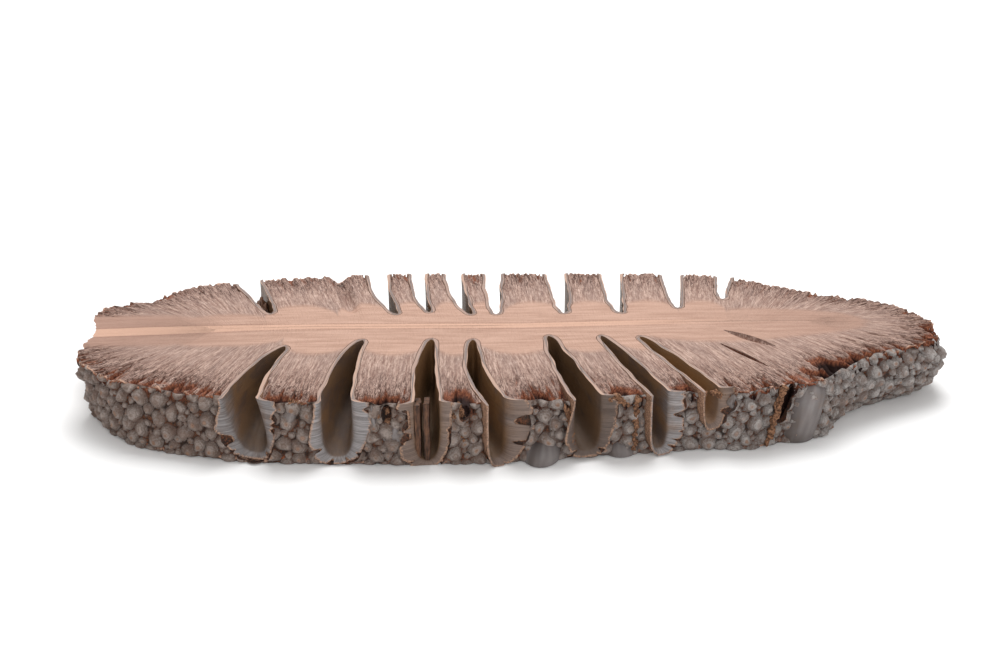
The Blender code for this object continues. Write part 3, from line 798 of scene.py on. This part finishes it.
def tip_places():
    """Bract tips thrown at the rim, the large ones first, wherever there is room left."""
    draw = np.random.default_rng(TIP_SEED)
    places = np.zeros((0, 5))
    for tries, (smallest, largest) in TIP_SIZES:
        for _ in range(tries):
            s, z = draw.uniform(0, rim_length), draw.uniform(-1.2, THICKNESS)
            size, high, tone = draw.uniform(smallest, largest), draw.uniform(*TIP_HEIGHT), draw.random()
            gap_s = np.abs((places[:, 0] - s + rim_length / 2) % rim_length - rim_length / 2)
            if np.any(np.hypot(gap_s, places[:, 1] - z) < TIP_PACKING * (places[:, 2] + size)):
                continue
            places = np.vstack([places, (s, z, size, high * size / 2.2, tone)])
    return places


def tip_skin():
    """The paved rim: every point's nearest bract tip sets its height, and a crevice runs where two meet."""
    draw = np.random.default_rng(TIP_SEED + 1)
    places = tip_places()
    step = rim_length / TIP_COLUMNS
    s = np.arange(TIP_COLUMNS) * step
    drop = value_noise(TIP_SEED + 2, s, 0 * s, 2.6, 1.0)
    drop = TIP_DROP[0] + (TIP_DROP[1] - TIP_DROP[0]) * drop
    x, y, _ = on_rim(s, 0.0, 0.0).T
    drop = drop + smooth_step(0, 20, y) + 0.8 * smooth_step(105, 122, x) * smooth_step(20, 0, y)
    z = np.linspace(0, 1, TIP_LEVELS)[:, None] * (THICKNESS - drop)[None, :]
    first = np.full(z.shape, 3.0)
    second = first.copy()
    owner = np.zeros(z.shape, int)
    for k, (at, level, size, high, tone) in enumerate(places):
        reach = int(3.0 * size / step)
        near = int(at / step) + np.arange(-reach, reach + 1)
        columns = near % TIP_COLUMNS
        across, up = (near * step - at)[None, :], z[:, columns] - level
        angle = np.arctan2(up, across)
        turn, squash = draw.uniform(0, 6.28, 2), draw.uniform(0.03, 0.20)
        lobes = 1 + squash * np.cos(2 * angle + turn[0]) + 0.08 * np.cos(3 * angle + turn[1])
        away = np.hypot(across, up) / size * lobes
        closer = away < first[:, columns]
        second[:, columns] = np.where(closer, first[:, columns], np.minimum(second[:, columns], away))
        first[:, columns] = np.where(closer, away, first[:, columns])
        owner[:, columns] = np.where(closer, k, owner[:, columns])
    high, tone = places[owner, 3], places[owner, 4]
    apart = second - first
    height = high * np.clip(1 - (first / 1.3) ** 1.7, 0, 1)
    height = height * (0.62 + 0.38 * smooth_step(0.0, 0.35, apart)) - TIP_BASE
    height = height + 0.09 * np.sin(first * 13 + tone * 9) * smooth_step(1.1, 0.6, first)
    rough = value_noise(TIP_SEED + 4, s[None, :] + 0 * z, z + 3, 0.8, 0.8)
    height = height + 0.65 * (rough - 0.5)
    height = height + np.where(tone > 0.7, -0.22, 0.10) * np.clip(1 - first / 0.26, 0, 1)
    height = height * smooth_step(-0.1, 0.7, THICKNESS - drop[None, :] - z)
    height = height * (0.5 + 0.5 * smooth_step(-0.2, 1.2, z))
    stem = (x < STEM_SAWN[0]) & (y > STEM_SAWN[1]) & (y < STEM_SAWN[2])
    sawn_end = 0.15 * value_noise(TIP_SEED + 3, s[None, :] + 0 * z, z, 1.5, 0.8)
    height = np.where(stem[None, :], sawn_end, height)
    rows = [on_rim(s, z[j], height[j]) for j in range(TIP_LEVELS)]
    for row in rows:
        row[:, :2] = within_reach(row[:, :2])
    rows += [on_rim(s, z[-1] - TIP_ROOT, -TIP_ROOT), on_rim(s, z[0] + TIP_ROOT / 2, -TIP_ROOT)]
    layers = {
        "knob": np.stack([first, tone], -1).reshape(-1, 2),
        "spot": np.stack([apart, np.broadcast_to(height, z.shape)], -1).reshape(-1, 2),
    }
    for name, hidden in (("knob", [1.2, 0.0]), ("spot", [0.0, -1.0])):
        layers[name] = np.vstack([layers[name], np.tile(hidden, (2 * TIP_COLUMNS, 1))])
    faces = grid_faces(TIP_LEVELS + 2, TIP_COLUMNS, True)
    last, i = (TIP_LEVELS + 1) * TIP_COLUMNS, np.arange(TIP_COLUMNS)
    i1 = (i + 1) % TIP_COLUMNS
    closing = np.stack([last + i, last + i1, i1, i], -1)
    return np.vstack(rows), np.vstack([faces, closing]), layers


tip_wood = new_material("bract_tips", 0.65, 0.3)
outward, tone = layer_of(tip_wood, "knob")
apart, height = layer_of(tip_wood, "spot")
x, y, z = place_mm(tip_wood)
cloud = grain(x * 0.35, y * 0.35, z * 0.35)
specks = grain(x * 2.2, y * 2.2, z * 2.2, 5.0, 0.75)
rings = grain(outward * 5.0 + tone * 40.0, 0.5, 0.0, 2.0, 0.6)
greyer = share_of(x, -40.0, 95.0)
pale_speck_and_lit_crown = blend(greyer, paint(194, 178, 169), paint(210, 203, 199))
dark_speck_and_shaded_side = blend(greyer, paint(106, 90, 82), paint(120, 113, 110))
navel = share_of(outward, 0.36, 0.14) * share_of(tone, 0.35, 0.75)
# Each knob is painted lighter on its crown and darker towards its sides, as light from above would fall
# (painted light and shade), mixed with pale and dark specks.
colour = coats(
    blend(share_of(outward + specks * 3.2, 3.1, 1.75), dark_speck_and_shaded_side, pale_speck_and_lit_crown),
    (share_of(specks, 0.52, 0.7) * 0.5, (176, 160, 150)),
    (share_of(rings, 0.42, 0.62) * 0.45, (112, 88, 76)),
    (share_of(cloud, 0.42, 0.62) * 0.5, (124, 94, 78)),
    (navel * 0.6, (182, 134, 104)),
    (share_of(outward, 0.12, 0.05) * 0.6, (96, 62, 46)),
)
# Where two knobs meet and where the skin lies low, the colour turns to the down's. Its orange-brown is real
# down; its near-black is painted shade in the crevices.
crevice = share_of(apart, 0.15, 0.0) + share_of(height, -0.04, -0.6)
down_and_crevice_shade = blend(share_of(specks + cloud * 0.5, 0.69, 0.92), paint(46, 33, 28), paint(152, 94, 62))
colour = blend(worked_out("MINIMUM", crevice, 0.85), colour, down_and_crevice_shade)
finish_material(tip_wood, colour, specks, 1.3)

tips = new_piece("bract_tips", *tip_skin(), tip_wood)
for case in CASES:
    cut(tips, "DIFFERENCE", pocket(case))
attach(tips, "root")

# The seed cases
# Thin, hard, smooth wooden cups that line the slots: dark brown inside, blue-grey where weather came in.
# Each grew in its pocket of the body. The lips dried, curled outward and cracked, so their edge is ragged.
CASE_SEED = 23
CASE_STEPS = 34
LIP_STEPS = 16
CASE_POINTS = 180
LIP_THIN = 0.45
LIP_NOTCHES = (8, 14)
SLAB_HALF = (150, 70)
FLAT_ENOUGH = 0.999
SAW_REACH = 0.01


def lip_edge(case, draw):
    """How much of its lip a case has left at each point round its mouth, without and with its notches and
    cracks."""
    angle = 2 * np.pi * (np.arange(CASE_POINTS) + 0.5) / CASE_POINTS
    even = 0.90 + 0.06 * np.sin(3 * angle + draw.uniform(0, 6))
    even = even + 0.04 * np.sin(7 * angle + draw.uniform(0, 6))
    three_rounds = np.tile(draw.uniform(-0.10, 0.08, CASE_POINTS), 3)
    ragged = even + np.convolve(three_rounds, (0.3, 0.4, 0.3), "same")[CASE_POINTS : 2 * CASE_POINTS]
    for _ in range(draw.integers(*LIP_NOTCHES)):
        at, wide, deep = draw.uniform(0, 2 * np.pi), draw.uniform(0.03, 0.08), draw.uniform(0.08, 0.3)
        away = np.abs((angle - at + np.pi) % (2 * np.pi) - np.pi)
        ragged -= deep * np.clip(1 - away / wide, 0, 1)
    for at, deep, wide in case["cracks"]:
        away = np.abs((angle - math.radians(at) + np.pi) % (2 * np.pi) - np.pi)
        ragged -= deep * np.clip(1.6 - away / wide, 0, 1)
    return even, np.clip(ragged, 0.08, 1.0)


def case_mesh(case, seed):
    """One case as a cup: its outer side up to the lips' edge, then its inner side back again."""
    even, ragged = lip_edge(case, np.random.default_rng(seed))
    steps = [(s, 0.0) for s in np.linspace(0, 1, CASE_STEPS) ** STEP_CROWDING]
    steps += [(1.0, q) for q in np.linspace(0, 1, LIP_STEPS + 1)[1:]]
    reach = np.linalg.norm(np.array(case["mouth"], float) - case["tip"])
    around = np.arange(CASE_POINTS) * (2 * case["gape"] + 50) / CASE_POINTS
    points = []
    layers = {"depth": [], "skin": [], "tone": [], "soot": []}
    for outer in (1, 0):
        for s, q in (steps if outer else steps[::-1]):
            thick = WALL * (1 - LIP_THIN * q) * outer
            opening = q * even + (ragged - even) * q**4
            points.append(case_ring(case, s, opening, thick, WALL * outer * (1 - q), CASE_POINTS))
            layers["depth"].append(np.column_stack([(1 - s) * reach - 6 * opening, around]))
            pairs = {"skin": (outer, 0), "tone": (case["warmth"], q), "soot": (case.get("soot", 0.0), 0)}
            for name, pair in pairs.items():
                layers[name].append(np.tile(pair, (CASE_POINTS, 1)))
    layers = {name: np.vstack(rings) for name, rings in layers.items()}
    return np.vstack(points), closed_tube(2 * len(steps), CASE_POINTS), layers


def saw_slab():
    """A block that fills the space between the two saw cuts."""
    far_x, far_y = SLAB_HALF
    corners = [(x, y, z) for z in (0.0, THICKNESS) for y in (-far_y, far_y) for x in (-far_x, far_x)]
    sides = [(0, 2, 3, 1), (4, 5, 7, 6), (0, 1, 5, 4), (2, 6, 7, 3), (0, 4, 6, 2), (1, 3, 7, 5)]
    return new_piece("slab", corners, sides)


def mark_saw_faces(piece):
    """Carries the layers on to the sawn faces and marks these with 1 in the skin layer's second number."""
    mesh = piece.data
    corner = read_all(mesh.loops, "vertex_index", 1, np.int32)
    level = read_all(mesh.polygons, "center", 3)[:, 2] / MM
    flat = np.abs(read_all(mesh.polygons, "normal", 3)[:, 2]) > FLAT_ENOUGH
    sawn = flat & ((level < SAW_REACH) | (level > THICKNESS - SAW_REACH))
    sawn_corner = np.repeat(sawn, read_all(mesh.polygons, "loop_total", 1, np.int32))
    for layer in mesh.uv_layers:
        values = read_all(layer.data, "uv", 2)
        at_point = np.zeros((len(mesh.vertices), 2), np.float32)
        at_point[corner[~sawn_corner]] = values[~sawn_corner]
        values[sawn_corner] = at_point[corner[sawn_corner]]
        if layer.name == "skin":
            values[sawn_corner, 1] = 1
        layer.data.foreach_set("uv", values.ravel())


case_wall = new_material("seed_case", 0.5, 0.4)
into, around = layer_of(case_wall, "depth")
outer, sawn = layer_of(case_wall, "skin")
warmth, lip = layer_of(case_wall, "tone")
painted_shade_share, _ = layer_of(case_wall, "soot")
x, y, z = place_mm(case_wall)
cloud = grain(x * 0.22, y * 0.1, z * 0.22)
specks = grain(x * 2.2, y * 2.2, z * 2.2, 4.0, 0.7)
lines = grain(around * 6.5, into * 0.14, warmth, 2.0, 0.6)
warm = blend(warmth, paint(128, 98, 72), paint(146, 108, 70))
golden = cloud + (warmth - 0.15) * 0.35
deep = coats(
    blend(share_of(golden, 0.4, 0.66), paint(106, 84, 71), warm),
    (share_of(lines, 0.45, 0.68) * 0.45, (132, 96, 68)),
    (share_of(specks, 0.62, 0.78) * 0.3, (176, 146, 118)),
    # Lower down inside the case the colour darkens towards near-black: painted shade.
    (share_of(z, 11.0, 3.0) * 0.5, (44, 37, 33)),
)
cool = blend(share_of(lines, 0.3, 0.7), paint(108, 102, 101), paint(156, 151, 151))
brown = blend(share_of(lines, 0.3, 0.7), paint(96, 80, 72), paint(132, 112, 101))
grey = blend(share_of(cloud + warmth, 0.7, 1.15), cool, brown)
near_mouth = share_of(into + cloud * 10.0, 13.0, 0.0)
low_down = share_of(z, 13.0, 5.0) * share_of(lip, 0.45, 0.1)
near_mouth = near_mouth * (1.0 - low_down * 0.8)
# Some cases get a set share of painted shade: a near-black laid over their inside.
inside = coats(blend(near_mouth, deep, grey), (painted_shade_share, (40, 32, 28)))
outside = blend(share_of(specks, 0.38, 0.62), paint(92, 66, 52), paint(182, 142, 116))
torn_edge = share_of(lip, 0.93, 1.0) * share_of(specks, 0.45, 0.6)
sides = coats(blend(outer, inside, outside), (torn_edge * 0.6, (186, 148, 122)))
# The thin peach band at the section's inner edge, next to the slot, is a painted edge highlight.
section = coats(
    blend(share_of(outer, 0.1, 0.14), paint(178, 145, 126), paint(74, 58, 52)),
    (share_of(outer, 0.18, 0.3), (128, 113, 108)),
    (share_of(outer, 0.66, 0.74), (84, 66, 59)),
    (share_of(outer, 0.78, 0.84), (162, 133, 119)),
    (share_of(specks, 0.45, 0.65) * 0.3, (150, 122, 108)),
)
colour = blend(sawn, sides, section)
finish_material(case_wall, colour, lines + specks, 0.15)

for number, case in enumerate(CASES):
    pouch = new_piece("case_" + case["name"], *case_mesh(case, CASE_SEED + number), case_wall)
    cut(pouch, "INTERSECT", saw_slab())
    mark_saw_faces(pouch)
    pouch.data.set_sharp_from_angle(angle=math.radians(50))
    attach(pouch, "root")
    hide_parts("follicle_" + case["name"])

# The flakes
# Splinters of broken case wall, dry and grey. They hang on the front rim beside the cases that they broke
# from, and each has a middle, half sizes and a lean.
FLAKES = [
    ((-32.6, -45.8, 8.6), (3.3, 1.0, 3.7), 0.15), ((-37.5, -45.8, 13.5), (1.1, 1.2, 4.6), -0.1),
    ((-62.3, -44.9, 14.0), (2.0, 1.1, 4.2), 0.3), ((61.5, -36.8, 14.5), (2.2, 1.0, 2.4), 0.0),
]
FLAKE_POWER = 1.3
FLAKE_CURL = 0.8
FLAKE_CELLS = 0.45
BULB_POINTS = 64
BULB_ROWS = 32
BULB_FOOT = 0.08
# The share of painted shade that darkens the shut cases and the flakes
BULB_PAINTED_SHADE = 0.25
DENT = 0.5


def swelling(middle, radii, power, lean):
    """A dented bulb with a flat foot, squarer the higher its power. The shut cases are such bulbs too, and
    so are the gaps."""
    turn = 2 * np.pi * np.arange(BULB_POINTS) / BULB_POINTS
    rise = np.pi * (np.arange(BULB_ROWS + 1) / BULB_ROWS - 0.5)
    flat = np.abs(np.cos(rise)) ** (2 / power)
    up = np.sign(np.sin(rise)) * np.abs(np.sin(rise)) ** (2 / power)
    x = middle[0] + radii[0] * flat[:, None] * np.cos(turn)[None, :]
    y = middle[1] + radii[1] * flat[:, None] * np.sin(turn)[None, :]
    z = np.clip(middle[2] + radii[2] * np.broadcast_to(up[:, None], x.shape), BULB_FOOT, THICKNESS)
    dents = value_noise(abs(round(middle[0])), turn[None, :] * 5 + 0 * x, z, 4.0, 5.0, 10 * np.pi) - 0.5
    x = x + DENT * dents * np.cos(turn)[None, :] + lean * (z - THICKNESS / 2)
    y = y + DENT * dents * np.sin(turn)[None, :]
    points = np.stack([x, y, z], -1).reshape(-1, 3)
    around = np.broadcast_to(turn[None, :] * 5, x.shape).ravel()
    layers = {"depth": np.column_stack([z.ravel() * 0.3 - 5, around * 0.035])}
    for name, pair in (("skin", (0.0, 0.0)), ("tone", (0.0, 0.3)), ("soot", (BULB_PAINTED_SHADE, 0.0))):
        layers[name] = np.tile(pair, (len(points), 1))
    return points, closed_tube(BULB_ROWS + 1, BULB_POINTS), layers


for number, (middle, radii, lean) in enumerate(FLAKES):
    points, faces, layers = swelling(middle, radii, FLAKE_POWER, lean)
    for k in range(len(points)):
        points[k, 1] += FLAKE_CURL * noise.fractal(Vector(points[k]) * FLAKE_CELLS, 1.0, 2.0, 3)
    flake = new_piece("flake_%d" % (number + 1), points, faces, layers, case_wall)
    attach(flake, "root")

# The shut cases
# Three cases that the saw did not open show from outside on the front: smooth, dark grey swellings of the
# same hard wood as the open ones. They grew in the body and stand out of its rim.
SHUT = [
    ("case_front_8", "follicle_front_8", (82.5, -29.0, 3.5), (5.5, 5.0, 13.8), 3.4, 0.23),
    ("case_low_1", "follicle_low_1", (9.6, -40.4, 0.2), (5.6, 8, 5.6), 2.3, 0.2),
    ("case_low_2", "follicle_low_2", (28.2, -37, -0.5), (5.0, 5.5, 4.6), 2.3, -0.2),
]

for name, node, middle, radii, power, lean in SHUT:
    shell = new_piece(name, *swelling(middle, radii, power, lean), case_wall)
    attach(shell, "root")
    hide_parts(node)

# The gaps
# Dark holes in the rim where the tissue shrank away from a case, or a bract tip fell out. They are hollows
# in the body and in its skin of bract tips, with a middle, half sizes and a lean each.
GAPS = [
    ((75.9, -34.5, 12.6), (1.7, 4.5, 6.4), 0.28), ((-34.2, -47.0, 15.3), (1.5, 3.6, 2.8), 0.0),
    ((-13.6, -46.0, 15.8), (1.7, 4.5, 2.6), 0.1),
]
GAP_POWER = 2.2
# These layer values paint each gap's inside near-black, in the body and in the skin of tips: painted shade.
GAP_LAYERS = {"fan": (0, 0), "relief": (3.2, 0), "zone": (-4, 9), "knob": (1.2, 0), "spot": (0, -1)}

for middle, radii, lean in GAPS:
    for piece in (tips, body):
        points, faces, _ = swelling(middle, radii, GAP_POWER, lean)
        layers = {name: np.tile(pair, (len(points), 1)) for name, pair in GAP_LAYERS.items()}
        cut(piece, "DIFFERENCE", new_piece("cutter", points, faces, layers))

# The crusts
# Where a block of tissue broke away beside a case, an orange-tan crust of dried down and bark crumbs is
# left along the break. It sticks to the body's rim.
CRUST_SEED = 31
# Each run of crumbs: its two ends, how many crumbs, how far they stray, and their size
CRUSTS = [
    ((75.5, -34.9, 18.0), (71.5, -37.1, 1.4), 50, 0.30, 0.75),
    ((15.0, -43.6, 16.5), (16.6, -43.8, 5.0), 12, 0.2, 0.8),
    ((34.4, -40.8, 17.6), (34.2, -40.8, 2.0), 14, 0.2, 0.7),
    ((-15.4, -44.0, 17.4), (-11.8, -44.2, 2.0), 22, 1.0, 0.9),
    ((-61.5, -44.0, 17.6), (-57.0, -44.4, 17.8), 7, 0.4, 0.6),
    ((-36.0, -45.2, 17.0), (-32.8, -45.2, 9.0), 9, 1.0, 0.8),
    ((27.5, -41.0, 17.6), (33.0, -40.8, 16.0), 9, 0.6, 0.8),
    ((54.0, -37.0, 17.5), (61.0, -36.4, 16.5), 9, 0.6, 0.7),
]
CRUMB_ROUGHNESS = 0.8
CRUMB_SQUASH = ((0.6, 0.8, 0.7), (1.2, 1.5, 1.6))
CRUMB_INSET = 0.05


def ball(fineness):
    """The points and faces of a round ball of radius 1."""
    mesh = bmesh.new()
    bmesh.ops.create_icosphere(mesh, subdivisions=fineness, radius=1.0)
    points = np.array([v.co[:] for v in mesh.verts])
    faces = np.array([[v.index for v in face.verts] for face in mesh.faces])
    mesh.free()
    return points, faces


def crust_mesh():
    """Every crumb of the crusts, each a lumpy and squashed ball."""
    sphere, sides = ball(3)
    draw = np.random.default_rng(CRUST_SEED)
    points, faces = [], []
    for start, end, count, stray, size in CRUSTS:
        start, end = np.array(start), np.array(end)
        for k in range(count):
            along = (k + draw.uniform(0.2, 0.8)) / count
            place = start + (end - start) * along + draw.normal(0, stray, 3) * (1, 0.5, 0.5)
            radii = size * draw.uniform(*CRUMB_SQUASH)
            lumps = [noise.fractal(Vector(q * 1.2) + Vector(place), 0.8, 2.2, 5) for q in sphere]
            crumb = place + sphere * (1 + CRUMB_ROUGHNESS * np.array(lumps))[:, None] * radii
            crumb[:, 2] = np.clip(crumb[:, 2], CRUMB_INSET, THICKNESS - CRUMB_INSET)
            faces.append(sides + len(sphere) * len(points))
            points.append(crumb)
    return np.vstack(points), np.vstack(faces)


crust = new_material("crust", 0.85, 0.15)
x, y, z = place_mm(crust)
mottle = grain(x * 1.6, y * 1.6, z * 1.6, 4.0, 0.7)
colour = blend(share_of(mottle, 0.36, 0.64), paint(70, 50, 40), paint(160, 118, 90))
finish_material(crust, colour, mottle, 0.3)
crusts = new_piece("crusts", *crust_mesh(), None, crust)
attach(crusts, "root")

# The seed remains
# In one front case the seeds' separator still stands on edge: two thin, woody, red-brown leaves with a dark
# gap between them. In two back cases a shrivelled red-brown lump is left of the seeds, wedged in the cup.
LEAF_RUN = ((-25.0, -29.0), (-24.4, -46.0))
LEAF_OFFSETS = (-1.4, 1.0)
LEAF_HALF = 0.75
LEAF_Z = (1.2, 15.0)
LEAF_SLOPE = -6.5
LEAF_ROWS = 24
LEAF_COLUMNS = 12
LEAF_BEND = 0.4
LUMP_MIDDLE = (-37.5, 22.3, 9.5)
LUMP_RADII = (1.3, 2.8, 6.0)
STOPPER_MIDDLE = (-77.5, 28.0, 11.5)
STOPPER_RADII = (2.0, 5.0, 5.5)

seed_wood = new_material("seed_wood", 0.6, 0.3)
x, y, z = place_mm(seed_wood)
veins = grain(x * 1.5, y * 0.8, z * 0.25, 4.0, 0.7)
colour = blend(share_of(veins, 0.34, 0.66), paint(50, 32, 24), paint(108, 74, 53))
finish_material(seed_wood, colour, veins, 0.3)


def leaf_mesh():
    """Two upright leaves, each a front and a back grid of points, joined along their edges."""
    start, end = (np.array(p) for p in LEAF_RUN)
    points, faces = [], []
    rows, columns = LEAF_ROWS, LEAF_COLUMNS
    for offset in LEAF_OFFSETS:
        for side in (-LEAF_HALF, LEAF_HALF):
            for j in range(rows):
                for i in range(columns):
                    run = start + (end - start) * i / (columns - 1)
                    top = LEAF_Z[1] + LEAF_SLOPE * (0.5 - i / (columns - 1))
                    top = top + noise.noise(Vector((i * 0.6, offset, 0)))
                    z = LEAF_Z[0] + (top - LEAF_Z[0]) * j / (rows - 1)
                    bend = LEAF_BEND * noise.noise(Vector((offset, i * 0.35, z * 0.10)))
                    torn = noise.noise(Vector((offset * 3, z * 0.5, 1))) if i == columns - 1 else 0
                    run_end = LEAF_BEND * torn
                    points.append((run[0] + offset + side + bend, run[1] + run_end, z))
    per_side = rows * columns
    for leaf in range(len(LEAF_OFFSETS)):
        low = leaf * 2 * per_side
        faces += list(grid_faces(rows, columns, False, low, flip=True))
        faces += list(grid_faces(rows, columns, False, low + per_side))
        loop = list(range(columns)) + [j * columns + columns - 1 for j in range(1, rows)]
        loop += [(rows - 1) * columns + i for i in range(columns - 2, -1, -1)]
        loop += [j * columns for j in range(rows - 2, 0, -1)]
        for a, b in zip(loop, loop[1:] + loop[:1]):
            faces.append((low + a, low + b, low + b + per_side, low + a + per_side))
    return np.array(points), faces


def lump(middle, radii, seed, rough):
    """A shrivelled ball."""
    points, faces = ball(4)
    place = Vector((seed, 0, 0))
    push = [1 + rough * noise.fractal(Vector(p * 2.1) + place, 1.0, 2.0, 4) for p in points]
    return points * np.array(push)[:, None] * radii + middle, faces


leaves = new_piece("separator", *leaf_mesh(), None, seed_wood)
leaves.data.set_sharp_from_angle(angle=math.radians(40))
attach(leaves, "root")
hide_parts("seed_separator_front_3")
stopper = new_piece("seed_lump_back_1", *lump(STOPPER_MIDDLE, STOPPER_RADII, 7.0, 0.45), None, seed_wood)
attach(stopper, "root")
remains = new_piece("seed_lump", *lump(LUMP_MIDDLE, LUMP_RADII, 3.0, 0.35), None, seed_wood)
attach(remains, "root")
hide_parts("seed_remains_back_3")

size = {"cad": [list(c) for c in cad_box], "visual": [list(c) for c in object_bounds()]}
